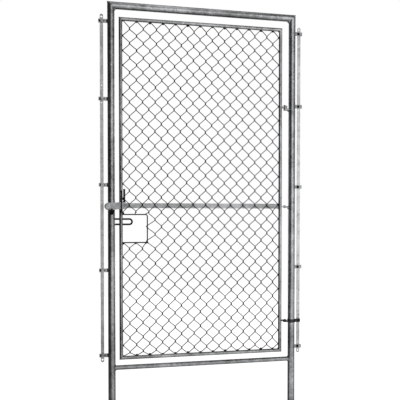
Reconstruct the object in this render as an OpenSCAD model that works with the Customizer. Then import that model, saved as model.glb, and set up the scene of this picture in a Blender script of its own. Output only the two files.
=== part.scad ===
// Walk gate of diamond wire mesh: a tube leaf hung in a tube portal, with a fall-bar latch.
// Lengths are millimetres. The origin is the centre of the hinge post's foot and +Z is up.
// +X points from the latch post to the hinge post, and the leaf opens towards -Y.

/* [Leaf] */
// Outer width of the leaf
leaf_w = 1003; // [800:1:1300]
// Outer height of the leaf
leaf_h = 2000; // [1700:10:2300]
// Outer diameter of the leaf's tubes
leaf_tube_d = 21.3; // [18:0.1:26]
// Wall of the leaf's tubes
leaf_tube_wall = 2; // [1.5:0.1:3]
// Height of the mid rail's centre above the leaf's bottom edge
mid_rail_rise = 905.5; // [780:0.5:1100]
// Height of the mid rail's flat
mid_rail_h = 30; // [20:1:50]
// Thickness of the mid rail
mid_rail_t = 5; // [3:0.5:6]

/* [Mesh] */
// Wire diameter
wire_d = 5; // [2.5:0.1:6]
// Width of a mesh diamond, before it is fitted to the leaf
mesh_pitch_x = 76.6; // [60:0.1:90]
// Height of a mesh diamond
mesh_pitch_z = 86.2; // [70:0.1:110]
// Depth of a row of knots on the latch stile, below the mid rail's centre
mesh_drop = 37.5; // [30:0.5:42]
// Width of the hand hatch, from the latch stile's centre to the rod's
hatch_w = 155; // [100:0.5:200]
// Height of the hand hatch, between its rods' centres
hatch_h = 165; // [120:1:220]
// Depth of the hatch's top rod below the mid rail's centre
hatch_drop = 52; // [46:1:70]
// Diameter of the hatch frame's rod
hatch_rod_d = 7; // [5:0.5:10]
// Bend radius of the hatch frame, on the rod's centre
hatch_bend_r = 11; // [8:0.5:20]

/* [Portal] */
// Outer diameter of the posts and the top rail
post_d = 42.4; // [38:0.1:50]
// Wall of the posts and the top rail
post_wall = 2.6; // [2:0.1:4]
// Outer diameter of the sill rail
sill_d = 26.9; // [21.3:0.1:34]
// Wall of the sill rail
sill_wall = 2.3; // [2:0.1:3.5]
// Height of the sill rail's centre above the ground
sill_h = 300; // [150:5:500]
// Space between the leaf and the latch post
latch_gap = 23.5; // [22:0.5:36]
// Space between the leaf and the hinge post
hinge_gap = 43; // [36:0.5:46]
// Space between the leaf and the top rail
top_gap = 43; // [20:0.5:70]
// Space between the leaf and the sill rail
bottom_gap = 32; // [15:0.5:60]

/* [Tension bars] */
// Width of a tension bar
bar_w = 19.5; // [18:0.5:28]
// Thickness of a tension bar
bar_t = 5; // [3:0.5:8]
// Distance from a post's centre to its bar's centre
bar_offset = 53; // [48:0.5:65]
// Height of the bars' lower ends above the sill rail's centre
bar_rise = 31; // [20:1:60]
// Length of a tension bar
bar_l = 2032; // [2010:1:2060]
// Diameter of the eye in each end of a bar
bar_eye_d = 11; // [8:0.5:13]
// Distance from a bar's end to its eye's centre
bar_eye_inset = 15; // [12:0.5:20]
// Diameter of the two tie holes beside a bar's highest inner lug
tie_hole_d = 7; // [5:0.5:9]
// Distance from that lug's centre up to the upper tie hole
tie_hole_up = 78; // [40:1:100]
// Distance from that lug's centre down to the lower tie hole
tie_hole_down = 22; // [18:1:40]
// Distance from the posts' centre plane back to the lugs' front
lug_setback = 13; // [0:0.5:16]
// Distance between a post's lugs, counted up from the lowest
lug_space = 500; // [350:5:700]
// Distance from a bar's end to its end lug's centre
lug_inset = 41; // [34:1:60]
// Height of a lug
lug_h = 22; // [16:1:30]
// Thickness of a lug
lug_t = 5; // [4:0.5:6]
// How far a lug reaches past its bar's outer edge
lug_reach = 9; // [4:0.5:14]

/* [Hinges] */
// Distance from the hinge post's centre to the hinge axis
hinge_offset = 42; // [41:0.5:44]
// Diameter of the hinge pins
hinge_pin_d = 12; // [10:0.5:14]
// How far the hinge pins stand out of their eyes
hinge_pin_proud = 3; // [1:0.5:8]
// Outer diameter of the hinge eyes
hinge_eye_d = 24; // [20:0.5:25]
// Height of the upper hinge above the leaf's bottom edge
upper_hinge_rise = 1506; // [1300:1:1600]
// Height of the upper hinge's eye
upper_eye_h = 18; // [16:1:40]
// Height of the web between the upper hinge's eye and the stile
upper_web_h = 10; // [6:0.5:14]
// Thickness of the upper hinge's post arm
upper_arm_t = 9; // [5:0.5:12]
// Height of the middle hinge above the leaf's bottom edge
middle_hinge_rise = 900; // [700:1:1100]
// Height of the lower hinge above the leaf's bottom edge
lower_hinge_rise = 192; // [120:1:300]
// Thickness of the middle hinge's flat arms
hinge_arm_t = 5; // [4:0.5:10]
// Thickness of the lower hinge's arms
lower_arm_t = 7; // [6:0.5:14]
// Height of the clamp band round the hinge post
band_h = 20; // [16:1:30]
// Thickness of the clamp band
band_t = 3; // [2:0.5:4]
// How far the band's ears reach from the post's centre
band_ear_reach = 58; // [44:1:64]
// Width of the slit between the band's ears
band_slit = 3; // [2:0.5:6]

/* [Latch] */
// Distance from the latch stile's centre to the latch pivot
latch_pivot_in = 23; // [19.5:0.5:26]
// Diameter of the latch pivot's stud
latch_stud_d = 10; // [8:0.5:12]
// Diameter of the collar behind the arm
stud_collar_d = 16; // [14:0.5:17]
// Diameter of the stud's head, corner to corner
stud_head_d = 18; // [15:0.5:24]
// Thickness of the stud's head
stud_head_h = 7; // [4:0.5:10]
// Length of the arm from its pivot to its nose
latch_arm_l = 121; // [114:1:150]
// Height of the arm
latch_arm_h = 41; // [34:1:48]
// Thickness of the arm
latch_arm_t = 6; // [4:0.5:8]
// How far the arm's blunt tail reaches past its pivot
latch_tail = 14; // [11:0.5:22]
// Height of the blunt end of the tail
latch_tail_h = 14; // [8:1:24]
// How far the arm's nose hangs down, in degrees
latch_droop = 3; // [0:0.5:5]
// Diameter of the handle rod
handle_d = 12; // [8:0.5:14]
// Length of the handle rod above the arm
handle_l = 76; // [50:1:110]
// Distance from the latch pivot to the handle, towards the nose
handle_out = 5.5; // [0:0.5:6]
// Diameter of the guide staple's rod
staple_d = 6; // [5:0.5:9]
// Height of the guide staple's upper leg above the latch pivot
staple_up = 82; // [78:1:100]
// Depth of the guide staple's lower leg below the latch pivot
staple_down = 38; // [36:1:60]
// Bend radius of the guide staple, on the rod's centre
staple_bend_r = 9; // [6:0.5:14]
// Width of the catch's seat under the arm
catch_w = 34; // [24:0.5:40]
// Width of the catch's foot
catch_foot_w = 18; // [10:0.5:22]
// Width of the catch's lip
catch_lip_w = 8; // [5:0.5:14]
// How far the catch's lip stands up in front of the arm
catch_lip_h = 9; // [6:0.5:16]
// Thickness of the catch's lip, front to back
catch_lip_t = 6; // [4:0.5:10]
// Height of the catch's front below the arm
catch_toe_h = 8; // [5:0.5:14]
// Depth of the catch below the arm
catch_depth = 24; // [16:1:40]

/* [Stop loop] */
// Diameter of the stop loop's rod
stop_rod_d = 10.5; // [6:0.5:12]
// Distance between the loop's two legs, centre to centre
stop_leg_space = 31.5; // [24:0.5:40]
// Depth of the loop's centre below the mid rail's centre
stop_drop = 94.5; // [70:0.5:130]
// How far the loop reaches past the latch stile's centre
stop_reach = 72; // [50:1:110]

/* [Clearances] */
// Free space kept round the moving latch and leaf
free_gap = 5; // [5:0.5:8]
// Radial play of the pins in their eyes
pin_play = 0.05; // [0.02:0.01:0.1]
// Play between faces that slide on each other
slide_play = 0.3; // [0.2:0.05:0.6]
// Gap that a weld fills between a round tube and what is fixed to it
weld_gap = 0.1; // [0.05:0.05:0.3]

/* [Hidden] */
$fn = 48;
post_r = post_d / 2;
leaf_r = leaf_tube_d / 2;
hinge_eye_r = hinge_eye_d / 2;

// Places across the gate
hinge_stile_x = -post_r - hinge_gap - leaf_r;
latch_stile_x = hinge_stile_x - leaf_w + leaf_tube_d;
latch_post_x = latch_stile_x - leaf_r - latch_gap - post_r;
portal_w = -latch_post_x;
latch_pivot_x = latch_stile_x + latch_pivot_in;

// Places up the gate
leaf_bottom = sill_h + sill_d / 2 + bottom_gap;
leaf_low_z = leaf_bottom + leaf_r;
leaf_high_z = leaf_bottom + leaf_h - leaf_r;
top_rail_z = leaf_bottom + leaf_h + top_gap + post_r;
mid_rail_z = leaf_bottom + mid_rail_rise;

// Places through the gate, front to back
mid_rail_front = wire_d / 2 + slide_play;
arm_back = -post_r - free_gap;
arm_front = arm_back - latch_arm_t;
staple_y = arm_front - free_gap - staple_d / 2;
stop_y = leaf_r + free_gap + stop_rod_d / 2;
bar_front = lug_setback + lug_t;

// The mesh fills the leaf's clear width with half diamonds, and its rows hang from the mid rail
mesh_left = latch_stile_x + leaf_r + weld_gap;
mesh_right = hinge_stile_x - leaf_r - weld_gap;
mesh_bottom = leaf_low_z + leaf_r + weld_gap;
mesh_top = leaf_high_z - leaf_r - weld_gap;
half_w = (mesh_right - mesh_left) / round(2 * (mesh_right - mesh_left) / mesh_pitch_x);
half_h = mesh_pitch_z / 2;
wire_share = wire_d / 2 * norm([half_w, half_h]) / (half_w * half_h);
knot_z = mid_rail_z - mesh_drop;
// The next row of knots parts the upper mesh from the lower
split_z = knot_z + half_h;
hatch_x = latch_stile_x + hatch_w;
hatch_high_z = mid_rail_z - hatch_drop;
hatch_low_z = hatch_high_z - hatch_h;
hatch_room = hatch_rod_d / 2 + weld_gap;
// A column of knots beside the hatch parts the meshes over and under it from the rest
hatch_side_x = mesh_left + half_w * ceil((hatch_x + hatch_room - mesh_left) / half_w);

// Latch geometry, from the arm's pivot
arm_half = latch_arm_h / 2;
catch_run = latch_pivot_x - latch_post_x;
catch_top = mid_rail_z - catch_run * tan(latch_droop)
    - (arm_half + catch_w / 2 * sin(latch_droop)) / cos(latch_droop) - slide_play;
catch_lip_back = arm_front - free_gap;
catch_front = catch_lip_back - catch_lip_t;

// Lugs rise in even steps from a bar's lower end, and one more sits at its upper end
bar_low = sill_h + bar_rise;
lug_first = bar_low + lug_inset;
lug_last = bar_low + bar_l - lug_inset;
lug_heights = concat([for (z = [lug_first : lug_space : lug_last - lug_space / 2]) z], [lug_last]);
tie_lug_z = lug_heights[len(lug_heights) - 2] - bar_low;

upper_hinge_z = leaf_bottom + upper_hinge_rise;
middle_hinge_z = leaf_bottom + middle_hinge_rise;
lower_hinge_z = leaf_bottom + lower_hinge_rise;

// Cuts reach past what they cut by this much
past = 1;

galvanised = "#a3a6a8";
dull_zinc = "#8b8f91";
dark_iron = "#3a3b3c";

// A tube along +Z. Each mitred end is cut at 45 degrees through the axis: +1 slopes up
// towards +X, -1 slopes down, and 0 leaves the end square.
module tube(l, d, wall, head = 0, foot = 0) {
    low = foot == 0 ? 0 : -d;
    high = head == 0 ? l : l + d;
    difference() {
        translate([0, 0, low]) cylinder(d = d, h = high - low);
        translate([0, 0, low - past]) cylinder(d = d - 2 * wall, h = high - low + 2 * past);
        if (head != 0)
            translate([0, 0, l]) rotate([0, -45 * head, 0])
                translate([-2 * d, -d, 0]) cube([4 * d, 2 * d, 3 * d]);
        if (foot != 0)
            rotate([0, -45 * foot, 0])
                translate([-2 * d, -d, -3 * d]) cube([4 * d, 2 * d, 3 * d]);
    }
}

// A tube that runs towards +X, with the same end cuts.
module cross_tube(l, d, wall, head = 0, foot = 0) {
    rotate([0, 90, 0]) tube(l, d, wall, head, foot);
}

// What a round tube standing at x takes out of a piece that is welded to it.
module post_room(x, d) {
    translate([x, 0, -past]) cylinder(d = d + 2 * weld_gap, h = top_rail_z);
}

// A flat bar standing along +Z with half-round ends, an eye in each and two tie holes, its front at y = 0.
module eyed_bar() {
    r = bar_w / 2;
    translate([0, bar_t, 0]) rotate([90, 0, 0]) linear_extrude(bar_t) difference() {
        union() {
            translate([-r, r]) square([bar_w, bar_l - bar_w]);
            for (z = [r, bar_l - r])
                translate([0, z]) circle(r);
        }
        for (z = [bar_eye_inset, bar_l - bar_eye_inset])
            translate([0, z]) circle(d = bar_eye_d);
        for (z = [tie_lug_z - tie_hole_down, tie_lug_z + tie_hole_up])
            translate([0, z]) circle(d = tie_hole_d);
    }
}

// The row of lugs that carry a tension bar, beside a post at x. side is +1 or -1.
module bar_lugs(x, side) {
    reach = bar_offset + bar_w / 2 + lug_reach;
    difference() {
        for (z = lug_heights)
            translate([x + min(side, 0) * reach, lug_setback, z - lug_h / 2])
                cube([reach, lug_t, lug_h]);
        post_room(x, post_d);
    }
}

// A flat hinge arm with an eye end round the hinge axis, reaching to a tube at x. Its
// underside is at z = 0 and its eye is solid.
module hinge_arm(x, t) {
    from = min(x, -hinge_offset);
    translate([from, -hinge_eye_r, 0]) cube([abs(x + hinge_offset), hinge_eye_d, t]);
    translate([-hinge_offset, 0, 0]) cylinder(d = hinge_eye_d, h = t);
}

// The bore through a leaf hinge's eye.
module eye_bore(z, h) {
    translate([-hinge_offset, 0, z - past]) cylinder(d = hinge_pin_d + 2 * pin_play, h = h + 2 * past);
}

// A hinge arm on the post with its pin standing up through the leaf's eye above it.
module post_hinge(z, tube_d, arm_t, eye_h) {
    difference() {
        translate([0, 0, z - arm_t]) hinge_arm(0, arm_t);
        post_room(0, tube_d);
    }
    translate([-hinge_offset, 0, z - arm_t])
        cylinder(d = hinge_pin_d, h = arm_t + slide_play + eye_h + hinge_pin_proud);
}

// A quarter or half bend of rod in the XY plane, starting on +X and turning about the origin.
module rod_bend(r, d, angle) {
    rotate_extrude(angle = angle) translate([r, 0]) circle(d = d);
}

// A flat panel of diamond mesh between two heights and two sides.
// The wires are bars fused where they cross, and the panel's edges cut through them.
module mesh_panel(x0, x1, z0, z1) {
    first_i = floor((x0 - mesh_left) / half_w) - 1;
    last_i = ceil((x1 - mesh_left) / half_w) + 1;
    first_j = floor((z0 - knot_z) / half_h) - 1;
    last_j = ceil((z1 - knot_z) / half_h) + 1;
    open_w = half_w * (1 - wire_share);
    open_h = half_h * (1 - wire_share);
    color(dull_zinc) rotate([90, 0, 0]) linear_extrude(wire_d, center = true) difference() {
        translate([x0, z0]) square([x1 - x0, z1 - z0]);
        for (i = [first_i : last_i], j = [first_j : last_j])
            if ((i + j) % 2 != 0)
                translate([mesh_left + i * half_w, knot_z + j * half_h])
                    polygon([[-open_w, 0], [0, -open_h], [open_w, 0], [0, open_h]]);
    }
}

// Portal

module hinge_post() {
    color(galvanised) tube(top_rail_z, post_d, post_wall, head = 1);
}

module latch_post() {
    color(galvanised) translate([latch_post_x, 0, 0]) tube(top_rail_z, post_d, post_wall, head = -1);
}

module top_rail() {
    color(galvanised) translate([latch_post_x, 0, top_rail_z])
        cross_tube(portal_w, post_d, post_wall, head = -1, foot = 1);
}

module sill_rail() {
    color(galvanised) difference() {
        translate([latch_post_x, 0, sill_h]) cross_tube(portal_w, sill_d, sill_wall);
        post_room(0, post_d);
        post_room(latch_post_x, post_d);
    }
}

module hinge_side_bar() {
    color(dull_zinc) translate([bar_offset, bar_front, bar_low]) eyed_bar();
}

module latch_side_bar() {
    color(dull_zinc) translate([latch_post_x - bar_offset, bar_front, bar_low]) eyed_bar();
}

module hinge_side_lugs() {
    color(dull_zinc) bar_lugs(0, 1);
}

module latch_side_lugs() {
    color(dull_zinc) bar_lugs(latch_post_x, -1);
}

module upper_hinge_bracket() {
    color(dull_zinc) post_hinge(upper_hinge_z, post_d, upper_arm_t, upper_eye_h);
}

module middle_hinge_bracket() {
    color(dull_zinc) post_hinge(middle_hinge_z, post_d, hinge_arm_t, hinge_arm_t);
}

// A split clamp band with two ears on the outer side, and the lower hinge's arm on the inner.
module lower_hinge_band() {
    band_d = post_d + 2 * weld_gap + 2 * band_t;
    ear_w = band_slit + 2 * band_t;
    low = lower_hinge_z - band_h / 2;
    color(dark_iron) {
        difference() {
            union() {
                translate([0, 0, low]) cylinder(d = band_d, h = band_h);
                translate([0, -ear_w / 2, low]) cube([band_ear_reach, ear_w, band_h]);
            }
            post_room(0, post_d);
            translate([0, -band_slit / 2, low - past])
                cube([band_ear_reach + past, band_slit, band_h + 2 * past]);
        }
        post_hinge(lower_hinge_z, band_d - 2 * weld_gap - band_t, lower_arm_t, lower_arm_t);
    }
}

// A tapered seat under the arm, with a narrow lip that stands up in front of it.
module latch_catch() {
    translate([latch_post_x, 0, catch_top]) color(dark_iron) difference() {
        union() {
            intersection() {
                translate([-catch_w / 2, 0, 0]) rotate([90, 0, 90]) linear_extrude(catch_w)
                    polygon([
                        [0, -catch_depth], [arm_back, -catch_depth],
                        [catch_front, -catch_toe_h], [catch_front, 0], [0, 0]
                    ]);
                rotate([90, 0, 0]) linear_extrude(past - catch_front)
                    polygon([
                        [-catch_foot_w / 2, -catch_depth], [catch_foot_w / 2, -catch_depth],
                        [catch_w / 2, 0], [-catch_w / 2, 0]
                    ]);
            }
            translate([-catch_lip_w / 2, catch_front, -catch_toe_h])
                cube([catch_lip_w, catch_lip_t, catch_toe_h + catch_lip_h]);
        }
        translate([0, 0, -catch_depth - past])
            cylinder(d = post_d + 2 * weld_gap, h = catch_depth + 2 * past);
    }
}

// A rod bent to a U that lies level behind the latch stile.
module stop_loop() {
    half = stop_leg_space / 2;
    run = latch_stile_x - latch_post_x + stop_reach - half - stop_rod_d / 2;
    color(dark_iron) difference() {
        translate([latch_post_x, stop_y, mid_rail_z - stop_drop]) {
            for (z = [-half, half])
                translate([0, 0, z]) rotate([0, 90, 0]) cylinder(d = stop_rod_d, h = run);
            translate([run, 0, 0]) rotate([90, 0, 0]) rotate([0, 0, -90])
                rod_bend(half, stop_rod_d, 180);
        }
        post_room(latch_post_x, post_d);
    }
}

// Leaf

module latch_stile() {
    color(galvanised) translate([latch_stile_x, 0, leaf_low_z])
        tube(leaf_high_z - leaf_low_z, leaf_tube_d, leaf_tube_wall, head = -1, foot = 1);
}

module hinge_stile() {
    color(galvanised) translate([hinge_stile_x, 0, leaf_low_z])
        tube(leaf_high_z - leaf_low_z, leaf_tube_d, leaf_tube_wall, head = 1, foot = -1);
}

module leaf_top_rail() {
    color(galvanised) translate([latch_stile_x, 0, leaf_high_z])
        cross_tube(hinge_stile_x - latch_stile_x, leaf_tube_d, leaf_tube_wall, head = -1, foot = 1);
}

module leaf_bottom_rail() {
    color(galvanised) translate([latch_stile_x, 0, leaf_low_z])
        cross_tube(hinge_stile_x - latch_stile_x, leaf_tube_d, leaf_tube_wall, head = 1, foot = -1);
}

module mid_rail() {
    color(dull_zinc) difference() {
        translate([latch_stile_x, mid_rail_front, mid_rail_z - mid_rail_h / 2])
            cube([hinge_stile_x - latch_stile_x, mid_rail_t, mid_rail_h]);
        post_room(latch_stile_x, leaf_tube_d);
        post_room(hinge_stile_x, leaf_tube_d);
    }
}

module mesh_upper() {
    mesh_panel(mesh_left, mesh_right, split_z, mesh_top);
}

module mesh_lower() {
    mesh_panel(hatch_side_x, mesh_right, mesh_bottom, split_z);
}

module mesh_under_hatch() {
    mesh_panel(mesh_left, hatch_side_x, mesh_bottom, hatch_low_z - hatch_room);
}

module mesh_over_hatch() {
    mesh_panel(mesh_left, hatch_side_x, hatch_high_z + hatch_room, split_z);
}

// A rod bent round three sides of the hatch, its ends on the latch stile.
module hatch_frame() {
    run = hatch_x - hatch_bend_r - latch_stile_x;
    rise = hatch_high_z - hatch_low_z;
    color(dull_zinc) difference() {
        translate([latch_stile_x, 0, hatch_low_z]) {
            for (z = [0, rise])
                translate([0, 0, z]) rotate([0, 90, 0]) cylinder(d = hatch_rod_d, h = run);
            translate([run, 0, hatch_bend_r]) rotate([90, 0, 0]) rotate([0, 0, -90])
                rod_bend(hatch_bend_r, hatch_rod_d, 90);
            translate([run, 0, rise - hatch_bend_r]) rotate([90, 0, 0])
                rod_bend(hatch_bend_r, hatch_rod_d, 90);
            translate([run + hatch_bend_r, 0, hatch_bend_r])
                cylinder(d = hatch_rod_d, h = rise - 2 * hatch_bend_r);
        }
        post_room(latch_stile_x, leaf_tube_d);
    }
}

// A hinge arm on the leaf, with its eye resting on the post's arm below.
module leaf_hinge(z, t) {
    low = z + slide_play;
    difference() {
        translate([0, 0, low]) hinge_arm(hinge_stile_x, t);
        eye_bore(low, t);
        post_room(hinge_stile_x, leaf_tube_d);
    }
}

// A knuckle on an upright web.
module upper_hinge_eye() {
    low = upper_hinge_z + slide_play;
    color(dull_zinc) difference() {
        translate([0, 0, low]) {
            translate([-hinge_offset, 0, 0]) cylinder(d = hinge_eye_d, h = upper_eye_h);
            translate([hinge_stile_x, -hinge_arm_t / 2, (upper_eye_h - upper_web_h) / 2])
                cube([-hinge_offset - hinge_stile_x, hinge_arm_t, upper_web_h]);
        }
        eye_bore(low, upper_eye_h);
        post_room(hinge_stile_x, leaf_tube_d);
    }
}

module middle_hinge_eye() {
    color(dull_zinc) leaf_hinge(middle_hinge_z, hinge_arm_t);
}

module lower_hinge_eye() {
    color(dark_iron) leaf_hinge(lower_hinge_z, lower_arm_t);
}

// A stud that stands on the mid rail, with a collar behind the arm and a six-sided head.
module latch_stud() {
    collar = mid_rail_front - arm_back - slide_play;
    color(dark_iron) translate([latch_pivot_x, mid_rail_front, mid_rail_z]) rotate([90, 0, 0]) {
        cylinder(d = stud_collar_d, h = collar);
        cylinder(d = latch_stud_d, h = collar + latch_arm_t + 2 * slide_play);
        translate([0, 0, collar + latch_arm_t + 2 * slide_play])
            cylinder(d = stud_head_d, h = stud_head_h, $fn = 6);
    }
}

// A rod staple that stands off the latch stile and goes round the front of the arm.
module guide_staple() {
    rise = staple_up + staple_down;
    leg = -staple_y - staple_bend_r;
    color(dark_iron) difference() {
        translate([latch_stile_x, 0, mid_rail_z - staple_down]) {
            for (z = [0, rise])
                translate([0, 0, z]) rotate([90, 0, 0]) cylinder(d = staple_d, h = leg);
            translate([0, -leg, staple_bend_r]) rotate([90, 0, -90]) rotate([0, 0, -90])
                rod_bend(staple_bend_r, staple_d, 90);
            translate([0, -leg, rise - staple_bend_r]) rotate([90, 0, -90])
                rod_bend(staple_bend_r, staple_d, 90);
            translate([0, -leg - staple_bend_r, staple_bend_r])
                cylinder(d = staple_d, h = rise - 2 * staple_bend_r);
        }
        post_room(latch_stile_x, leaf_tube_d);
    }
}

// Latch

// What rides on the latch arm: x along the arm with its nose towards -X, z across it.
module on_arm() {
    translate([latch_pivot_x, 0, mid_rail_z]) rotate([0, -latch_droop, 0]) children();
}

module latch_arm() {
    color(dull_zinc) on_arm() translate([0, arm_back, 0]) rotate([90, 0, 0])
        linear_extrude(latch_arm_t) difference() {
            union() {
                translate([arm_half - latch_arm_l, 0]) circle(arm_half);
                translate([arm_half - latch_arm_l, -arm_half]) square([latch_arm_l - arm_half, latch_arm_h]);
                polygon([
                    [0, -arm_half], [latch_tail, -latch_tail_h / 2],
                    [latch_tail, latch_tail_h / 2], [0, arm_half]
                ]);
            }
            circle(d = latch_stud_d + 2 * pin_play);
        }
}

// The handle stands upright when the arm rests, on the arm's sloping edge.
module latch_handle() {
    color(dark_iron) on_arm() difference() {
        translate([-handle_out, (arm_back + arm_front) / 2, arm_half]) rotate([0, latch_droop, 0])
            translate([0, 0, -handle_d / 2]) cylinder(d = handle_d, h = handle_l + handle_d / 2);
        translate([-latch_arm_l, arm_front - handle_d, -arm_half])
            cube([2 * latch_arm_l, latch_arm_t + 2 * handle_d, latch_arm_h]);
    }
}

hinge_post();
latch_post();
top_rail();
sill_rail();
hinge_side_bar();
latch_side_bar();
hinge_side_lugs();
latch_side_lugs();
upper_hinge_bracket();
middle_hinge_bracket();
lower_hinge_band();
latch_catch();
stop_loop();
latch_stile();
hinge_stile();
leaf_top_rail();
leaf_bottom_rail();
mid_rail();
mesh_upper();
mesh_lower();
mesh_under_hatch();
mesh_over_hatch();
hatch_frame();
upper_hinge_eye();
middle_hinge_eye();
lower_hinge_eye();
latch_stud();
guide_staple();
latch_arm();
latch_handle();
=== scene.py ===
import math

import bpy
import numpy as np
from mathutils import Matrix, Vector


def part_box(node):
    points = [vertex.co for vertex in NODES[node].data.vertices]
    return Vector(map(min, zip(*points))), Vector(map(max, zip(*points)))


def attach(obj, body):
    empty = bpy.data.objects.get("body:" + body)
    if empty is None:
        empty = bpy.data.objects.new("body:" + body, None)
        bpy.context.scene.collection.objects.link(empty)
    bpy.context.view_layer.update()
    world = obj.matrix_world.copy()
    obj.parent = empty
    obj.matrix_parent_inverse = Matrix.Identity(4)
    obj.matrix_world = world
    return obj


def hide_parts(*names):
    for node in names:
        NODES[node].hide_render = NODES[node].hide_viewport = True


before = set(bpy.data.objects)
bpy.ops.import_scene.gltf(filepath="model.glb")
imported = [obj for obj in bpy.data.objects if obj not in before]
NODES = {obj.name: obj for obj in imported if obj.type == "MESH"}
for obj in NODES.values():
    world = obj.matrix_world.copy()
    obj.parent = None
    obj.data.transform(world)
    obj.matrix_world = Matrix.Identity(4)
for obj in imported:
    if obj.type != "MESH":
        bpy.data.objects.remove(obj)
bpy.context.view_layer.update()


def middle(node):
    """The centre of a CAD node's box."""
    low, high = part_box(node)
    return np.array((low + high) / 2)


def low_of(node):
    """The lowest corner of a CAD node's box."""
    return np.array(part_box(node)[0])


def high_of(node):
    """The highest corner of a CAD node's box."""
    return np.array(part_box(node)[1])


# Places and sizes, in metres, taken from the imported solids
LATCH_STILE_X = middle("latch_stile")[0]
HINGE_STILE_X = middle("hinge_stile")[0]
LEAF_R = (high_of("latch_stile") - low_of("latch_stile"))[1] / 2
POST_R = (high_of("hinge_post") - low_of("hinge_post"))[1] / 2
LATCH_POST_X = middle("latch_post")[0]
TOP_Z = high_of("top_rail")[2] - POST_R
SILL_Z = middle("sill_rail")[2]
SILL_R = (high_of("sill_rail") - low_of("sill_rail"))[2] / 2
LEAF_TOP_Z = middle("leaf_top_rail")[2]
LEAF_LOW_Z = middle("leaf_bottom_rail")[2]
MID_Z = middle("mid_rail")[2]
HATCH_LOW = low_of("hatch_frame")
HATCH_HIGH = high_of("hatch_frame")

# The woven wire: its radius, half a diamond's height and width, and the level of row 0, which hangs below the
# mid rail. Columns count from the latch stile. The hatch takes the first few of them, between its two rows.
WIRE_R = 0.0025
HALF_H = 0.0431
KNOT_Z = MID_Z - 0.0375
HATCH_ROD_R = 0.0035
COLUMNS = 25
FIRST_ROW = -19
LAST_ROW = 25
MID_COLUMN = COLUMNS / 2
MID_ROW = (FIRST_ROW + LAST_ROW) / 2
HALF_ROWS = (LAST_ROW - FIRST_ROW) / 2
HATCH_COLUMNS = 4
HATCH_LOW_ROW = -5
HATCH_TOP_ROW = 0
MESH_LEFT = LATCH_STILE_X + LEAF_R
MESH_RIGHT = HINGE_STILE_X - LEAF_R
HALF_W = (MESH_RIGHT - MESH_LEFT) / COLUMNS

# How a wire bends: how sharp its zigzag is, how steeply it crosses from front to back on the mesh and at the
# hatch's upright rod, how softly a strand leaves its last bend, how far its end sinks into a tube or rod, and
# how far from the latch stile the first wire ends
SHARP = 0.965
STEEP = 4.0
STEEP_AT_ROD = 9.0
STRAND_EASE = 0.004
SINK = 0.0005
FIRST_TIP = 0.005

# How far the painted shade in the wires' knots reaches from a bend, in rows, and from a strand's end, as
# a share of the strand
BEND_SHADE_ROWS = 0.17
END_SHADE_SHARE = 0.25

# How the hung mesh strays from an even lattice, in metres: the terms of a cubic in column and row, its limit,
# and the rows over which it fades out at the hatch
SLACK_X = np.array([-1.95, 4.3, -6.9, 2.7, -5.0, 6.0, 4.3, -7.7, -4.3, 5.4]) / 1000
SLACK_Z = np.array([3.0, -0.9, 4.8, -6.5, -2.2, -3.7, 4.9, -1.65, 7.7, -10.65]) / 1000
SLACK_MOST = 0.009
FADE_ROWS = 6

# The lugs that carry the flat bars, from the lowest up, and the bars' centre lines
LUG_H = 0.022
LUG_Z = low_of("latch_side_lugs")[2] + LUG_H / 2 + np.array([0.0, 0.5, 1.0, 1.5, 1.95])
LUG_FRONT = low_of("latch_side_lugs")[1]
BAR_BACK = high_of("latch_side_bar")[1]
HINGE_BAR_X = middle("hinge_side_bar")[0]
LATCH_BAR_X = middle("latch_side_bar")[0]


# Shader maths

class Shade:
    """A socket that shader maths is written with: an operator adds a Math node to its tree."""

    def __init__(self, tree, socket=None):
        self.tree = tree
        self.socket = socket

    def node(self, kind, inputs=None, out=0, **settings):
        """Adds a node: its settings first, then the values or links of its sockets."""
        made = self.tree.nodes.new(kind)
        for name, value in settings.items():
            if name == "stops":
                ramp = made.color_ramp.elements
                while len(ramp) < len(value):
                    ramp.new(0.5)
                for stop, (place, colour) in zip(ramp, value):
                    stop.position = place
                    stop.color = colour
            else:
                setattr(made, name, value)
        for key, value in (inputs or {}).items():
            if isinstance(value, Shade):
                self.tree.links.new(value.socket, made.inputs[key])
            else:
                made.inputs[key].default_value = value
        return Shade(self.tree, made.outputs[out] if made.outputs else None)

    def math(self, operation, a, b):
        """Adds a Math node with two inputs."""
        return self.node("ShaderNodeMath", {0: a, 1: b}, operation=operation)

    def noise(self, place, scale, detail, roughness):
        """Adds a noise texture at a place, and gives its value."""
        return self.node("ShaderNodeTexNoise", {
            "Vector": place, "Scale": scale, "Detail": detail, "Roughness": roughness})

    def between(self, low, high, start=0.0, end=1.0):
        """Takes this value's run from low to high to a run from start to end, and holds it there."""
        return self.node("ShaderNodeMapRange", {0: self, 1: low, 2: high, 3: start, 4: end})

    def mix(self, share, first, second):
        """Adds a mix of two colours: the first at share 0, the second at share 1."""
        return self.node("ShaderNodeMix", {0: share, 6: first, 7: second}, out=2, data_type="RGBA")

    def __add__(self, other):
        return self.math("ADD", self, other)

    def __radd__(self, other):
        return self.math("ADD", other, self)

    def __sub__(self, other):
        return self.math("SUBTRACT", self, other)

    def __rsub__(self, other):
        return self.math("SUBTRACT", other, self)

    def __mul__(self, other):
        return self.math("MULTIPLY", self, other)

    def __rmul__(self, other):
        return self.math("MULTIPLY", other, self)


def grey(level, warm=0.0):
    """A near-neutral linear colour: warm tips it from blue to yellow."""
    return (level * (1 + warm), level, level * (1 - warm), 1.0)


def bare_material(name):
    """A new material with no nodes, and the Shade that writes its tree."""
    material = bpy.data.materials.new(name)
    material.use_nodes = True
    material.node_tree.nodes.clear()
    return material, Shade(material.node_tree)


SPANGLE = 90.0
STAIN = grey(0.10, 0.04)
# The near-black of the painted shade in the wires' knots and at their ends
KNOT_SHADE_COLOUR = grey(0.004)


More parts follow.
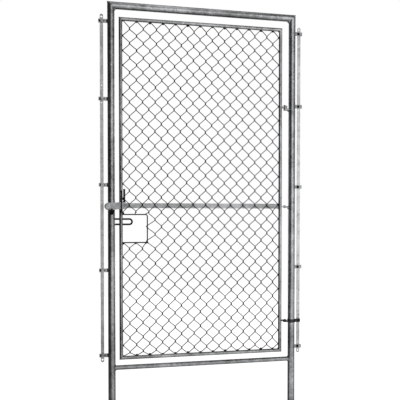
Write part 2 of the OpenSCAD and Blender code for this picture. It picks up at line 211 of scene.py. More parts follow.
def zinc(name, tones, run, metallic, roughness, spread, specular=0.3, bump=0.0006, with_knot_shade=False):
    """Hot-dip zinc: a sum of crystal cells, cloudy patches and streaks along the piece's run sets where a
    point lies between the dark and the light tone, and the same sum moves the roughness. Cells and patches
    give a faint bump and small stains lie over it. A finish marked for it takes painted shade from the
    piece's attribute, darkening the wires in their knots and at their ends."""
    material, shade = bare_material(name)
    place = shade.node("ShaderNodeTexCoord", out=3)
    drawn = shade.node("ShaderNodeMapping", {0: place, 3: run})
    cells = shade.node("ShaderNodeTexVoronoi", {"Vector": place, "Scale": SPANGLE, "Randomness": 1.0}, out=1)
    crystal = shade.node("ShaderNodeSeparateColor", {0: cells}, out=0)
    clouds = shade.noise(place, 30.0, 5.0, 0.6).between(0.33, 0.67)
    patches = shade.noise(place, 3.4, 3.0, 0.55).between(0.36, 0.64)
    streaks = shade.noise(drawn, 60.0, 4.0, 0.6)
    mottle = crystal * 0.18 + clouds * 0.24 + patches * 0.36 + streaks * 0.38 - 0.08
    stain = shade.noise(place, 46.0, 2.0, 0.5).between(0.64, 0.74)
    colour = shade.node("ShaderNodeValToRGB", {0: mottle}, stops=[
        (0.5 - spread, tones[0]), (0.5, tones[1]), (0.5 + spread, tones[2])])
    stained_and_shaded = shade.mix(stain * 0.45, colour, STAIN)
    # Painted shade: the wires darken in their knots and at their ends, by the piece's attribute
    if with_knot_shade:
        shade_weight = shade.node("ShaderNodeAttribute", out=2, attribute_name="soil")
        stained_and_shaded = shade.mix(shade_weight * 0.85, stained_and_shaded, KNOT_SHADE_COLOUR)
    relief = shade.node("ShaderNodeBump", {
        "Strength": 0.35, "Distance": bump, "Height": clouds * 0.7 + crystal * 0.3})
    rough = roughness + (mottle - 0.5) * 0.28
    surface = shade.node("ShaderNodeBsdfPrincipled", {
        "Base Color": stained_and_shaded, "Metallic": metallic, "Roughness": rough, "Normal": relief,
        "Specular IOR Level": specular})
    shade.node("ShaderNodeOutputMaterial", {0: surface})
    return material


# Which way a finish's streaks are drawn out
UP = (1.0, 1.0, 0.06)
ALONG = (0.06, 1.0, 1.0)
ANY = (1.0, 1.0, 1.0)

# Each finish's dark, middle and light tone, and the slight cool tint of the tube, rail, bar and plate zinc.
# The darker copies of the tube and bar tones are painted shade for the latch side's parts.
COOL = -0.03
TUBE_TONES = (grey(0.19, COOL), grey(0.38, COOL), grey(0.62, COOL))
# Painted shade: a darker copy of the tube tones for the latch post
SHADED_TUBE_TONES = (grey(0.155), grey(0.315), grey(0.53))
RAIL_TONES = (grey(0.15, COOL / 2), grey(0.305, COOL / 2), grey(0.52, COOL / 2))
BAR_TONES = (grey(0.42, COOL / 3), grey(0.69, COOL / 3), grey(0.90, COOL / 3))
# Painted shade: a darker copy of the bar tones for the latch-side bar and its lugs
SHADED_BAR_TONES = (grey(0.29), grey(0.51), grey(0.74))
PLATE_TONES = (grey(0.26, COOL / 2), grey(0.46, COOL / 2), grey(0.68, COOL / 2))
# Painted shade: darker tube tones for the latch stile and its stud
SHADED_STILE_TONES = (grey(0.12), grey(0.26), grey(0.46))
BAND_TONES = (grey(0.02), grey(0.05), grey(0.11))
WIRE_TONES = (grey(0.015), grey(0.035), grey(0.08))
IRON_TONES = (grey(0.006), grey(0.013), grey(0.03))
WELD_TONES = (grey(0.006), grey(0.018), grey(0.05))

# Each finish: tones, streaks, metallic, roughness and how far its tones spread. The post, stile and bar
# finishes with darker tones paint shade onto the latch side.
POST_ZINC = zinc("post_zinc", TUBE_TONES, UP, 0.9, 0.29, 0.26)
SHADED_POST_ZINC = zinc("shaded_post_zinc", SHADED_TUBE_TONES, UP, 0.9, 0.29, 0.26)
SHADED_STILE_ZINC = zinc("shaded_stile_zinc", SHADED_STILE_TONES, UP, 0.9, 0.29, 0.26)
RAIL_ZINC = zinc("rail_zinc", RAIL_TONES, ALONG, 0.9, 0.27, 0.26)
BAR_ZINC = zinc("bar_zinc", BAR_TONES, UP, 0.85, 0.5, 0.24)
SHADED_BAR_ZINC = zinc("shaded_bar_zinc", SHADED_BAR_TONES, UP, 0.85, 0.5, 0.24)
PLATE_ZINC = zinc("plate_zinc", PLATE_TONES, ANY, 0.85, 0.5, 0.24)
# The wire finish takes painted shade in its knots and at its ends
WIRE_ZINC = zinc("wire_zinc", WIRE_TONES, ANY, 0.4, 0.55, 0.3, bump=0.0002, with_knot_shade=True)
ROD_ZINC = zinc("rod_zinc", WIRE_TONES, ANY, 0.4, 0.55, 0.3, bump=0.0002)
BAND_IRON = zinc("band_iron", BAND_TONES, ANY, 0.5, 0.42, 0.3, bump=0.0003)
IRON = zinc("dark_iron", IRON_TONES, ANY, 0.1, 0.6, 0.3, specular=0.2, bump=0.0003)
WELD = zinc("burnt_weld", WELD_TONES, ANY, 0.1, 0.65, 0.3, specular=0.2, bump=0.0003)

FINISHES = {
    POST_ZINC: ["hinge_post", "hinge_stile"],
    # The latch post, latch stile and stud, and the latch-side bar and lugs take finishes with painted shade
    SHADED_POST_ZINC: ["latch_post"],
    SHADED_STILE_ZINC: ["latch_stile", "latch_stud"],
    RAIL_ZINC: ["top_rail", "sill_rail", "leaf_top_rail", "leaf_bottom_rail"],
    BAR_ZINC: ["hinge_side_bar"],
    SHADED_BAR_ZINC: ["latch_side_bar", "latch_side_lugs"],
    PLATE_ZINC: ["mid_rail", "latch_arm", "hinge_side_lugs", "upper_hinge_bracket", "upper_hinge_eye",
                 "middle_hinge_bracket", "middle_hinge_eye"],
    ROD_ZINC: ["mesh_upper", "mesh_lower", "mesh_under_hatch", "mesh_over_hatch", "hatch_frame"],
    BAND_IRON: ["lower_hinge_band", "lower_hinge_eye"],
    IRON: ["latch_catch", "stop_loop", "guide_staple", "latch_handle"],
}
for finish, names in FINISHES.items():
    for name in names:
        NODES[name].data.materials.clear()
        NODES[name].data.materials.append(finish)


# Shapes

def put(name, parts, body, finish, stands_for=(), smooth=True):
    """Joins parts, each a pair of points and lists of faces, into one piece of that finish. Points with a
    fourth number keep it as the piece's attribute of painted shade."""
    points, loops, counts, base = [], [], [], 0
    for verts, faces in parts:
        points.append(verts.reshape(-1, verts.shape[-1]))
        for ring in faces:
            loops.append((ring + base).ravel())
            counts.append(np.full(len(ring), ring.shape[1]))
        base += len(points[-1])
    points, loops, counts = np.concatenate(points), np.concatenate(loops), np.concatenate(counts)
    mesh = bpy.data.meshes.new(name)
    mesh.vertices.add(len(points))
    mesh.vertices.foreach_set("co", points[:, :3].astype(np.float32).ravel())
    mesh.loops.add(len(loops))
    mesh.loops.foreach_set("vertex_index", loops.astype(np.int32))
    mesh.polygons.add(len(counts))
    mesh.polygons.foreach_set("loop_start", (np.cumsum(counts) - counts).astype(np.int32))
    mesh.polygons.foreach_set("use_smooth", np.full(len(counts), smooth))
    # The painted shade of the wire knots and ends, kept as a point attribute
    if points.shape[1] == 4:
        soil = mesh.attributes.new("soil", "FLOAT", "POINT")
        soil.data.foreach_set("value", points[:, 3].astype(np.float32))
    mesh.update(calc_edges=True)
    mesh.validate()
    mesh.materials.append(finish)
    piece = bpy.data.objects.new(name, mesh)
    bpy.context.scene.collection.objects.link(piece)
    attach(piece, body)
    if stands_for:
        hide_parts(*stands_for)


def unit(v):
    """Vectors brought to length one."""
    return v / np.linalg.norm(v, axis=-1, keepdims=True)


def round_wire(paths, radius, aside, sides=6):
    """A circle carried along each path: point = path + radius (cos a * side + sin a * up), where side is
    square to the path and to the direction aside, and up is square to both. Flat caps close the ends. A
    path's fourth number, its painted shade, is carried along."""
    paths, soil = np.asarray(paths, float)[..., :3], paths[..., 3:]
    wires, steps = paths.shape[:2]
    run = unit(np.gradient(paths, axis=1))
    side = unit(np.cross(np.broadcast_to(aside, run.shape), run))
    up = np.cross(run, side)
    turn = np.arange(sides) * 2 * math.pi / sides
    ring = paths[:, :, None] + radius * (
        np.cos(turn)[:, None] * side[:, :, None] + np.sin(turn)[:, None] * up[:, :, None])
    points = np.concatenate([ring.reshape(-1, 3), paths[:, 0], paths[:, -1]])
    shade_marks = np.concatenate([np.repeat(soil, sides, axis=1).reshape(-1, 1), soil[:, 0], soil[:, -1]])
    points = np.concatenate([points, shade_marks], 1)
    index = np.arange(wires * steps * sides).reshape(wires, steps, sides)
    nxt = np.roll(index, -1, axis=2)
    skin = np.stack([index[:, :-1], nxt[:, :-1], nxt[:, 1:], index[:, 1:]], -1).reshape(-1, 4)
    heart = wires * steps * sides + np.arange(wires)[:, None] + np.zeros((1, sides), int)
    foot = np.stack([heart, nxt[:, 0], index[:, 0]], -1).reshape(-1, 3)
    head = np.stack([heart + wires, index[:, -1], nxt[:, -1]], -1).reshape(-1, 3)
    return points, [skin, foot, head]


def slack(column, row):
    """How far the hung mesh strays from an even lattice, sideways and up: cubics in u and v, the column and
    row measured from the mesh's middle. The sideways one dies away at the stiles, and both are held to a few
    millimetres."""
    u, v = np.broadcast_arrays((column - MID_COLUMN) / MID_COLUMN, (row - MID_ROW) / HALF_ROWS)
    terms = np.stack([np.ones_like(u), u, v, u * u, u * v, v * v, u * u * v, u * v * v, u ** 3, v ** 3], -1)
    free = 1 - np.minimum(np.abs(u), 1) ** 6
    aside = np.clip(terms @ SLACK_X, -SLACK_MOST, SLACK_MOST) * free
    return aside, np.clip(terms @ SLACK_Z, -SLACK_MOST, SLACK_MOST)


def zigzag(number, first, last, low_z, high_z, low_x=None, high_x=None, still_row=None, steps=10):
    """Chain-link wires, as flattened spirals. With j the row and T = arcsin(q cos(pi j)) / arcsin(q) a
    rounded triangle wave, a wire runs between its two columns as x = left + (right - left)(1 + sT)/2, lies
    behind where it climbs to the right and in front where it climbs to the left, y = h tanh(-k s sin(pi j)),
    and z rises with j. Its bends reach one radius past the column, so neighbours hook into each other, and
    beside the hatch they hook round its upright rod. Beyond the first and last row a straight strand runs on
    to the tube or rod at low_z or high_z. The slack is added to x and z, and fades out at still_row. The
    painted shade of the knots, where neighbours hook together, is a bell curve over j about each bend."""
    number = np.asarray(number)
    even = number % 2 == 0
    s = np.where(even, -1.0, 1.0)[:, None]
    left = MESH_LEFT + number * HALF_W - WIRE_R
    left = np.where(number == 0, MESH_LEFT + WIRE_R, left)[:, None]
    right = MESH_LEFT + (number + 1) * HALF_W + WIRE_R
    right = np.where(number == COLUMNS - 1, MESH_RIGHT - WIRE_R, right)[:, None]
    j = np.linspace(first, last, (last - first) * steps + 1)[None, :]
    hooked = (number[:, None] == HATCH_COLUMNS) & (j > HATCH_LOW_ROW) & (j < HATCH_TOP_ROW - 1)
    left = np.where(hooked, HATCH_HIGH[0] - 2 * HATCH_ROD_R - WIRE_R, left)
    share = (1 + s * np.arcsin(SHARP * np.cos(math.pi * j)) / math.asin(SHARP)) / 2
    depth = np.where(hooked, WIRE_R + HATCH_ROD_R * (1 - share) ** 4, WIRE_R)
    steep = np.where(hooked, STEEP_AT_ROD, STEEP)
    column = number[:, None] + share
    slack_x, slack_z = slack(column, j)
    ease = 1.0 if still_row is None else np.clip(np.abs(j - still_row) / FADE_ROWS, 0, 1)
    x = left + (right - left) * share + slack_x * np.where(hooked, share, 1.0) * ease
    y = depth * np.tanh(-steep * s * np.sin(math.pi * j))
    z = KNOT_Z + HALF_H * j + slack_z * np.where(hooked, share, 1.0) * ease
    # Painted shade: a bell curve about each bend darkens the knots where the wires hook together
    soil = np.broadcast_to(np.exp(-((j - np.round(j)) / BEND_SHADE_ROWS) ** 2), x.shape)
    main = np.stack([x, y, z, soil], -1)
    even_column = np.where(even, number, number + 1)
    even_x = MESH_LEFT + even_column * HALF_W + np.where(even, WIRE_R, -WIRE_R)
    even_x = np.where(number == 0, MESH_LEFT + FIRST_TIP, even_x)
    v = np.linspace(0, 1, steps + 1)[None, 1:]
    eased = (np.sqrt(v * v + STRAND_EASE) - math.sqrt(STRAND_EASE)) / (
        math.sqrt(1 + STRAND_EASE) - math.sqrt(STRAND_EASE))

    def strand(start, end_x, end_z, row):
        """From a bend to the wire's end: z runs evenly with v, x eases out of the bend, and y leaves the
        middle as tanh(5v), to the front or the back as the strand climbs."""
        end_x = end_x + slack(even_column, row)[0]
        climbs = np.sign((end_x - start[:, 0]) * (end_z - start[:, 2]))
        x_end = start[:, :1] + (end_x[:, None] - start[:, :1]) * eased
        y_end = climbs[:, None] * WIRE_R * np.tanh(5 * v)
        z_end = start[:, 2:3] + (end_z - start[:, 2:3]) * v
        # Painted shade: the strand darkens towards its end, where it meets the tube or rod
        shade_end = np.broadcast_to(np.exp(-((1 - v) / END_SHADE_SHARE) ** 2), x_end.shape)
        return np.stack([x_end, y_end, z_end, shade_end], -1)

    low_end = strand(main[:, 0], even_x if low_x is None else low_x, low_z, first)[:, ::-1]
    high_end = strand(main[:, -1], even_x if high_x is None else high_x, high_z, last)
    return np.concatenate([low_end, main, high_end], 1)


GOLDEN_ANGLE = 2.39996


def dabs(centres, sizes, lump=0.16, sides=8, rings=4):
    """Lumpy ellipsoids: point = centre + size * (1 + lump sin(2a + k) sin(3b + 2k)) (cos a sin b,
    sin a sin b, cos b), with k a different phase for each. Single points close the poles."""
    centres = np.atleast_2d(np.asarray(centres, float))
    sizes = np.broadcast_to(np.asarray(sizes, float), centres.shape)
    count = len(centres)
    k = (np.arange(count) * GOLDEN_ANGLE)[:, None, None]
    a = (np.arange(sides) * 2 * math.pi / sides)[None, None, :]
    b = (np.arange(1, rings + 1) * math.pi / (rings + 1))[None, :, None]
    swell = 1 + lump * np.sin(2 * a + k) * np.sin(3 * b + 2 * k)
    way = np.stack(np.broadcast_arrays(np.cos(a) * np.sin(b), np.sin(a) * np.sin(b), np.cos(b) + 0 * a), -1)
    skin = centres[:, None, None] + sizes[:, None, None] * swell[..., None] * way
    poles = centres[:, None] + sizes[:, None] * np.array([[0, 0, 1.0], [0, 0, -1.0]])
    points = np.concatenate([skin.reshape(-1, 3), poles[:, 0], poles[:, 1]])
    index = np.arange(count * rings * sides).reshape(count, rings, sides)
    nxt = np.roll(index, -1, axis=2)
    walls = np.stack([index[:, :-1], index[:, 1:], nxt[:, 1:], nxt[:, :-1]], -1).reshape(-1, 4)
    top = count * rings * sides + np.arange(count)[:, None] + np.zeros((1, sides), int)
    crown = np.stack([top, index[:, 0], nxt[:, 0]], -1).reshape(-1, 3)
    base = np.stack([top + count, nxt[:, -1], index[:, -1]], -1).reshape(-1, 3)
    return points, [walls, crown, base]


def turned(centres, profile, sides, start=0.0):
    """A profile of (radius, reach) pairs turned about an axis along -Y: point = centre + (r cos t, -reach,
    r sin t). The profile starts and ends on the axis, where single points close it."""
    centres = np.atleast_2d(np.asarray(centres, float))
    profile = np.asarray(profile, float)
    count, rings = len(centres), len(profile) - 2
    t = start + np.arange(sides) * 2 * math.pi / sides
    r, reach = profile[1:-1, 0][:, None], profile[1:-1, 1][:, None]
    ring = np.stack(np.broadcast_arrays(r * np.cos(t), -reach + 0 * t, r * np.sin(t)), -1)
    skin = centres[:, None, None] + ring
    ends = centres[:, None] + np.array([[0, -profile[0, 1], 0], [0, -profile[-1, 1], 0]])
    points = np.concatenate([skin.reshape(-1, 3), ends[:, 0], ends[:, 1]])
    index = np.arange(count * rings * sides).reshape(count, rings, sides)
    nxt = np.roll(index, -1, axis=2)
    walls = np.stack([index[:, :-1], nxt[:, :-1], nxt[:, 1:], index[:, 1:]], -1).reshape(-1, 4)
    first = count * rings * sides + np.arange(count)[:, None] + np.zeros((1, sides), int)
    back = np.stack([first, nxt[:, 0], index[:, 0]], -1).reshape(-1, 3)
    front = np.stack([first + count, index[:, -1], nxt[:, -1]], -1).reshape(-1, 3)
    return points, [walls, back, front]


RIPPLE = 0.22


def bead(path, heart, radius, ripples, sides=8):
    """A rippled weld bead: a circle of radius r(1 + RIPPLE sin(n t)) carried round a closed path, its first
    direction pointing away from the heart of the joint."""
    steps = len(path)
    run = unit(np.roll(path, -1, axis=0) - np.roll(path, 1, axis=0))
    out = path - np.asarray(heart)
    out = unit(out - (out * run).sum(-1, keepdims=True) * run)
    side = np.cross(run, out)
    swell = radius * (1 + RIPPLE * np.sin(ripples * np.arange(steps) * 2 * math.pi / steps))[:, None, None]
    a = (np.arange(sides) * 2 * math.pi / sides)[None, :, None]
    skin = path[:, None] + swell * (np.cos(a) * out[:, None] + np.sin(a) * side[:, None])
    index = np.arange(steps * sides).reshape(steps, sides)
    ahead, nxt = np.roll(index, -1, axis=0), np.roll(index, -1, axis=1)
    both = np.roll(ahead, -1, axis=1)
    return skin.reshape(-1, 3), [np.stack([index, nxt, both, ahead], -1).reshape(-1, 4)]


# The woven mesh

ACROSS = (1, 0, 0)
WEB_LOW = LEAF_LOW_Z + LEAF_R - SINK
WEB_HIGH = LEAF_TOP_Z - LEAF_R + SINK
full = zigzag(np.arange(HATCH_COLUMNS, COLUMNS), FIRST_ROW, LAST_ROW, WEB_LOW, WEB_HIGH)
put("woven_wire", [round_wire(full, WIRE_R, ACROSS)], "leaf", WIRE_ZINC,
    ["mesh_upper", "mesh_lower"])

# Where the cut wires are tied to the hatch's level rods: by column, and the last one beside the rods' corner
rod_top = HATCH_HIGH[2] - SINK
rod_low = HATCH_LOW[2] + SINK
CORNER_TIE = HATCH_HIGH[0] - 0.0125
tie_over = np.append(MESH_LEFT + HALF_W * np.array([0.10, 1.84, 1.88]), CORNER_TIE)
tie_under = np.append(MESH_LEFT + HALF_W * np.array([0.13, 1.95, 2.05]), CORNER_TIE)
above = zigzag(np.arange(HATCH_COLUMNS), HATCH_TOP_ROW, LAST_ROW, rod_top, WEB_HIGH, low_x=tie_over,
               still_row=HATCH_TOP_ROW)
below = zigzag(np.arange(HATCH_COLUMNS), FIRST_ROW, HATCH_LOW_ROW, WEB_LOW, rod_low, high_x=tie_under,
               still_row=HATCH_LOW_ROW)
put("woven_wire_at_hatch", [round_wire(above, WIRE_R, ACROSS), round_wire(below, WIRE_R, ACROSS)],
    "leaf", WIRE_ZINC, ["mesh_over_hatch", "mesh_under_hatch"])


# Welds and bolts

def knot_places(columns, rows):
    """Where knots hang: the lattice point plus its slack."""
    columns, rows = np.broadcast_arrays(np.asarray(columns, float), np.asarray(rows, float))
    stray_x, stray_z = slack(columns, rows)
    return MESH_LEFT + columns * HALF_W + stray_x, KNOT_Z + HALF_H * rows + stray_z


rows_left = np.array([j for j in range(FIRST_ROW, LAST_ROW + 1)
                      if j % 2 == 0 and not HATCH_LOW_ROW < j <= HATCH_TOP_ROW])
rows_right = np.arange(FIRST_ROW, LAST_ROW + 1, 2)
tips = np.arange(0, COLUMNS + 1, 2)
left_z = knot_places(0, rows_left)[1]
right_z = knot_places(COLUMNS, rows_right)[1]
top_x = knot_places(tips, LAST_ROW)[0]
low_x = knot_places(tips, FIRST_ROW)[0]


def row_of(x, y, z):
    """Points from their coordinates, each a number or a list of numbers."""
    return np.stack(np.broadcast_arrays(*(np.asarray(v, float) for v in (x, y, z))), -1).reshape(-1, 3)


inner_corners = row_of([MESH_LEFT, MESH_LEFT, MESH_RIGHT, MESH_RIGHT], 0,
                       [WEB_LOW, WEB_HIGH, WEB_LOW, WEB_HIGH])
staple_ends = [low_of("guide_staple")[2] + 0.003, high_of("guide_staple")[2] - 0.003]
mid_rail_edges = [MID_Z - 0.015, MID_Z + 0.015]
TIP_SIZES = np.array([0.0075, 0.0055, 0.0062]) * (1 + 0.25 * np.sin(tips[1:] * 2.1))[:, None]

# The leaf's welds: the wires' ends on the stiles and rails, the corners, the hatch's rods and their ties, the
# guide staple, the mid rail and the upper hinge's eye. Each line gives their places and half sizes.
leaf_welds = [
    dabs(row_of(MESH_LEFT + 0.0012, -0.001, left_z), (0.005, 0.0055, 0.0065)),
    dabs(row_of(MESH_RIGHT - 0.0012, -0.001, right_z), (0.005, 0.0055, 0.0065)),
    dabs(row_of(top_x[1:], -0.001, WEB_HIGH - 0.003), TIP_SIZES),
    dabs(row_of(low_x[1:], -0.001, WEB_LOW + 0.003), TIP_SIZES[::-1]),
    dabs(inner_corners, (0.005, 0.0075, 0.005)),
    dabs(row_of([MESH_LEFT + 0.003, MESH_LEFT + 0.003], 0, [HATCH_HIGH[2] + 0.003, HATCH_LOW[2] - 0.002]),
         (0.006, 0.0045, 0.007)),
    dabs(row_of(tie_under[[1, 3]], 0, HATCH_LOW[2] - 0.001), (0.006, 0.0042, 0.005)),
    dabs(row_of([HATCH_HIGH[0] - 0.0035], 0, [HATCH_LOW[2] + 0.004]), (0.006, 0.0048, 0.006)),
    dabs(row_of(LATCH_STILE_X, -LEAF_R, staple_ends), (0.0055, 0.003, 0.005)),
    dabs(row_of(MESH_LEFT + 0.001, 0.0046, mid_rail_edges), (0.004, 0.004, 0.0025)),
    dabs(row_of(MESH_RIGHT - 0.001, 0.0046, mid_rail_edges), (0.004, 0.004, 0.0025)),
    dabs(row_of(high_of("hinge_stile")[0], 0, middle("upper_hinge_eye")[2] + np.array([-0.006, 0.006])),
         (0.0035, 0.005, 0.0032)),
]
put("leaf_welds", leaf_welds, "leaf", WELD)

catch_low = low_of("latch_catch")[2]
arm_faces = np.array([low_of("upper_hinge_bracket")[2] + np.array([-0.0015, 0.0105]),
                      low_of("middle_hinge_bracket")[2] + np.array([-0.0015, 0.0065])]).ravel()
PIN_X = middle("upper_hinge_eye")[0]
PIN_TOPS = np.array([high_of("upper_hinge_bracket")[2], high_of("middle_hinge_bracket")[2]])
loop_legs = [low_of("stop_loop")[2] + 0.0052, high_of("stop_loop")[2] - 0.0052]

# The portal's welds: the lugs on their posts and beside the latch-side bar, the peened tops of the hinge
# pins, the hinge arms, the catch and the stop loop. Each line gives their places and half sizes. The wide
# dark dab at the catch is partly its weld and partly painted shadow of the latch arm on the post.
portal_welds = [
    dabs(row_of(POST_R - 0.0025, LUG_FRONT - 0.002, LUG_Z), (0.0055, 0.005, 0.0115)),
    dabs(row_of(LATCH_POST_X - POST_R + 0.0025, LUG_FRONT - 0.002, LUG_Z), (0.0065, 0.005, 0.0125)),
    dabs(row_of(LATCH_BAR_X - 0.0105, LUG_FRONT, LUG_Z), (0.005, 0.0035, 0.0085)),
    dabs(row_of(LATCH_BAR_X + 0.014, LUG_FRONT, LUG_Z), (0.003, 0.003, 0.006)),
    dabs(row_of(PIN_X, 0, PIN_TOPS + 0.0004), (0.0075, 0.0075, 0.0024), lump=0.04),
    dabs(row_of(-POST_R + 0.001, [-0.009, 0.009] * 4, np.repeat(arm_faces, 2)), (0.0045, 0.006, 0.0045)),
    # Partly the catch's weld, partly painted shadow cast by the latch arm onto the post
    dabs(row_of([LATCH_POST_X], -POST_R - 0.001, catch_low), (0.0095, 0.0045, 0.0045)),
    dabs(row_of(LATCH_POST_X + 0.008, POST_R - 0.003, loop_legs), (0.009, 0.004, 0.0065)),
]
put("portal_welds", portal_welds, "portal", WELD)

handle_foot = middle("latch_handle")
handle_foot[2] = low_of("latch_handle")[2] + 0.003
put("handle_weld", [dabs([handle_foot], (0.0085, 0.0066, 0.005))], "latch", WELD)

# The latch arm's forged nose: a low dome on its round end
ARM_HALF_H = 0.0205
NOSE_DOME = [(0, -SINK), (0.0195, -SINK), (0.0195, 0.0004), (0.0186, 0.0013), (0.0166, 0.0022),
             (0.0125, 0.0030), (0.0075, 0.0035), (0.0030, 0.0037), (0, 0.0037)]
nose = low_of("latch_arm") + np.array([ARM_HALF_H, 0, ARM_HALF_H])
put("arm_nose", [turned([nose], NOSE_DOME, 32)], "latch", PLATE_ZINC)

# Weld beads
TURN = np.linspace(0, 2 * math.pi, 48, endpoint=False)


def mitre(x, z, radius, right, up):
    """The ellipse where two equal tubes meet at a right angle: (right r cos t, r sin t, up r cos t)."""
    return np.stack([x + right * radius * np.cos(TURN), radius * np.sin(TURN),
                     z + up * radius * np.cos(TURN)], -1)


def saddle(x, z, radius, around, right):
    """The curve where a level tube meets a round post: y and z go round the tube's circle, and x is pushed
    out to the post's skin, sqrt(around squared - y squared)."""
    y = radius * np.cos(TURN)
    return np.stack([x + right * np.sqrt(around ** 2 - y ** 2), y, z + radius * np.sin(TURN)], -1)


portal_beads = [bead(mitre(x, TOP_Z, POST_R, right, 1), (x, 0, TOP_Z), 0.0014, 23)
                for x, right in ((0.0, 1), (LATCH_POST_X, -1))]
portal_beads += [bead(saddle(x, SILL_Z, SILL_R + 0.0015, POST_R + 0.001, right),
                      (x + right * POST_R, 0, SILL_Z), 0.0026, 15)
                 for x, right in ((0.0, -1), (LATCH_POST_X, 1))]
portal_beads.append(dabs(row_of([-POST_R, LATCH_POST_X + POST_R], 0, TOP_Z - POST_R),
                         (0.009, 0.013, 0.009), lump=0.06))
put("portal_beads", portal_beads, "portal", RAIL_ZINC)
leaf_beads = [bead(mitre(x, z, LEAF_R, right, up), (x, 0, z), 0.0012, 13)
              for x, right in ((HINGE_STILE_X, 1), (LATCH_STILE_X, -1))
              for z, up in ((LEAF_TOP_Z, 1), (LEAF_LOW_Z, -1))]
put("leaf_beads", leaf_beads, "leaf", RAIL_ZINC)

# Bolts: the profiles of their parts, and where they stand
WASHER_T = 0.0014
WASHER = [(0, 0), (0.0085, 0), (0.0085, WASHER_T), (0, WASHER_T)]
HEX_HEAD = [(0, 0), (0.0070, 0), (0.0070, 0.0044), (0.0061, 0.0053), (0, 0.0053)]
NUT = [(0, 0), (0.0061, 0), (0.0070, 0.0008), (0.0070, 0.0057), (0.0061, 0.0065), (0, 0.0065)]
SHANK = [(0, 0), (0.004, 0), (0.004, 0.0095), (0.0033, 0.0105), (0, 0.0105)]
HINGE_BOLT_IN = 0.006
EAR_IN = 0.011
EAR_UP = 0.010
EAR_FACE = 0.0045
hinge_bolts = row_of(HINGE_BAR_X - HINGE_BOLT_IN, 0, LUG_Z)
latch_bolts = row_of(LATCH_BAR_X, 0, LUG_Z)
ear = row_of(high_of("lower_hinge_band")[0] - EAR_IN, 0, low_of("lower_hinge_band")[2] + EAR_UP)


def bolt_set(centres, front, back):
    """A washer and head on the front face, and a washer, nut and thread's end on the back face."""
    ahead = centres + np.array([0, front, 0])
    behind = centres + np.array([0, back, 0])
    washer = np.array([0, WASHER_T, 0])

    def at_back(part):
        """A part mirrored in the back face, with its faces turned round to point outwards."""
        points, faces = part
        mirrored = points.copy()
        mirrored[:, 1] = 2 * back - points[:, 1]
        return mirrored, [f[:, ::-1] for f in faces]

    return [turned(ahead, WASHER, 14), turned(ahead - washer, HEX_HEAD, 6, 0.3),
            at_back(turned(behind, WASHER, 14)), at_back(turned(behind - washer, NUT, 6, 0.7)),
            at_back(turned(behind, SHANK, 10))]


put("hinge_side_bolts", bolt_set(hinge_bolts, LUG_FRONT, BAR_BACK), "portal", IRON, smooth=False)
# The latch-side bolts take the bar finish with painted shade
put("latch_side_bolts", bolt_set(latch_bolts, LUG_FRONT, BAR_BACK), "portal", SHADED_BAR_ZINC,
    smooth=False)
put("band_bolt", bolt_set(ear, -EAR_FACE, EAR_FACE), "portal", IRON, smooth=False)


# Stage

def area_light(name, place, aim, size, power):
    """A rectangular lamp that the camera doesn't see, turned from straight down to face the aim: tilt =
    atan2(level reach, drop) and heading = atan2(-x, y) of the way there."""
    data = bpy.data.lights.new(name, "AREA")
    data.shape = "RECTANGLE"
    data.size, data.size_y = size
    data.energy = power
    lamp = bpy.data.objects.new(name, data)
    bpy.context.scene.collection.objects.link(lamp)
    lamp.location = place
    lamp.visible_camera = False
    way = np.array(aim, float) - np.array(place, float)
    flat = math.hypot(way[0], way[1])
    lamp.rotation_euler = (math.atan2(flat, -way[2]), 0, math.atan2(-way[0], way[1]))


# Banks in front, at the side and above, and two behind for the views from there
area_light("front_bank", (1.5, -6.7, 3.15), (-0.55, 0.0, 3.15), (7.6, 5.7), 178)
area_light("side_bank", (5.2, -0.9, 2.6), (-0.55, 0.0, 2.6), (3.0, 4.6), 20)
area_light("top_bank", (-0.3, -1.0, 4.2), (-0.3, -1.0, 0.0), (1.4, 3.2), 14)
area_light("back_bank", (-0.55, 5.5, 2.3), (-0.55, 0.0, 2.3), (8.0, 4.5), 125)
area_light("back_side", (2.8, 3.0, 1.75), (2.8, 0.0, 1.75), (3.0, 3.4), 75)

world = bpy.data.worlds.new("studio")
bpy.context.scene.world = world
world.use_nodes = True
world.node_tree.nodes.clear()
sky = Shade(world.node_tree)
seen = sky.node("ShaderNodeLightPath", out=0)
shiny = sky.node("ShaderNodeLightPath", out=3)
through = sky.node("ShaderNodeLightPath", out=6)
white = sky.math("MINIMUM", seen + shiny * 0.02 + through, 1.0)
ambient = sky.node("ShaderNodeBackground", {0: grey(0.03), 1: 1.0})
backdrop = sky.node("ShaderNodeBackground", {0: grey(1.0), 1: 1.0})
mixed = sky.node("ShaderNodeMixShader", {0: white, 1: ambient, 2: backdrop})
sky.node("ShaderNodeOutputWorld", {0: mixed})


# The gate's middle
CENTRE = (-0.55, 0.0, 1.25)


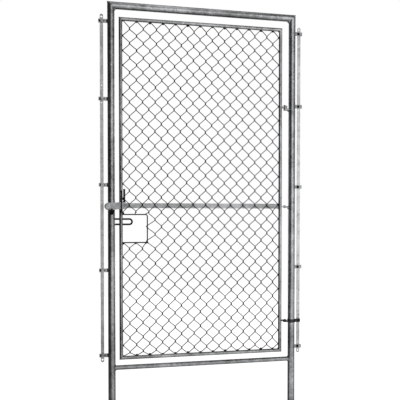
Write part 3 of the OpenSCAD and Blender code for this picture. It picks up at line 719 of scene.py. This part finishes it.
def floor_material():
    """A pale floor: its own diffuse answer to the lamps, plus a glow that only the eye and shiny things see.
    The eye sees it everywhere, and shiny things mostly on the lit side in front of the gate."""
    material, shade = bare_material("pale_floor")
    eye = shade.node("ShaderNodeLightPath", out=0)
    gloss = shade.node("ShaderNodeLightPath", out=3)
    place = shade.node("ShaderNodeTexCoord", out=3)
    depth = shade.node("ShaderNodeSeparateXYZ", {0: place}, out=1)
    across = shade.node("ShaderNodeSeparateXYZ", {0: place}, out=0)
    reach = shade.node("ShaderNodeLightPath", out="Ray Length")
    far = depth.between(-0.45, -0.9, 0.0, 0.8)
    near = depth.between(0.0, -0.2)
    close = reach.between(0.8, 1.6, 1.0, 0.0)
    ahead = shade.math("MAXIMUM", far, near * close)
    lit_side = (across - depth * 0.5).between(-1.2, -0.5)
    shown = shade.math("MINIMUM", eye + gloss * (ahead * lit_side + 0.02), 1.0)
    away = shade.node("ShaderNodeVectorMath", {0: place, 1: CENTRE}, out=1, operation="DISTANCE")
    level = away.between(1.6, 3.5, 0.96, 1.0)
    glow = shade.node("ShaderNodeEmission", {0: shown * level, 1: 1.0})
    plain = shade.node("ShaderNodeBsdfDiffuse", {0: grey(0.3)})
    shade.node("ShaderNodeOutputMaterial", {0: shade.node("ShaderNodeAddShader", {0: glow, 1: plain})})
    return material


def flat_piece(name, corners, material):
    """A stage piece of one flat face, from its four corners."""
    mesh = bpy.data.meshes.new(name)
    mesh.from_pydata(corners, [], [(0, 1, 2, 3)])
    mesh.materials.append(material)
    piece = bpy.data.objects.new(name, mesh)
    bpy.context.scene.collection.objects.link(piece)


REACH = 40.0
FLOOR_Z = -0.001
flat_piece("floor", [(-REACH, -REACH, FLOOR_Z), (REACH, -REACH, FLOOR_Z), (REACH, REACH, FLOOR_Z),
                     (-REACH, REACH, FLOOR_Z)], floor_material())

# The camera, with its dip below level and its turn to the right, in degrees
CAMERA_DIP = 1.279
CAMERA_TURN = 12.4857
camera_data = bpy.data.cameras.new("camera")
camera_data.sensor_width = 36.0
camera_data.lens = 54.74
camera_data.shift_y = 0.074
camera_data.clip_end = 200.0
camera = bpy.data.objects.new("camera", camera_data)
bpy.context.scene.collection.objects.link(camera)
camera.location = (-1.3747, -3.5755, 1.1899)
camera.rotation_euler = (math.radians(90 - CAMERA_DIP), 0.0, math.radians(-CAMERA_TURN))
bpy.context.scene.camera = camera
bpy.context.scene.view_settings.view_transform = "Standard"
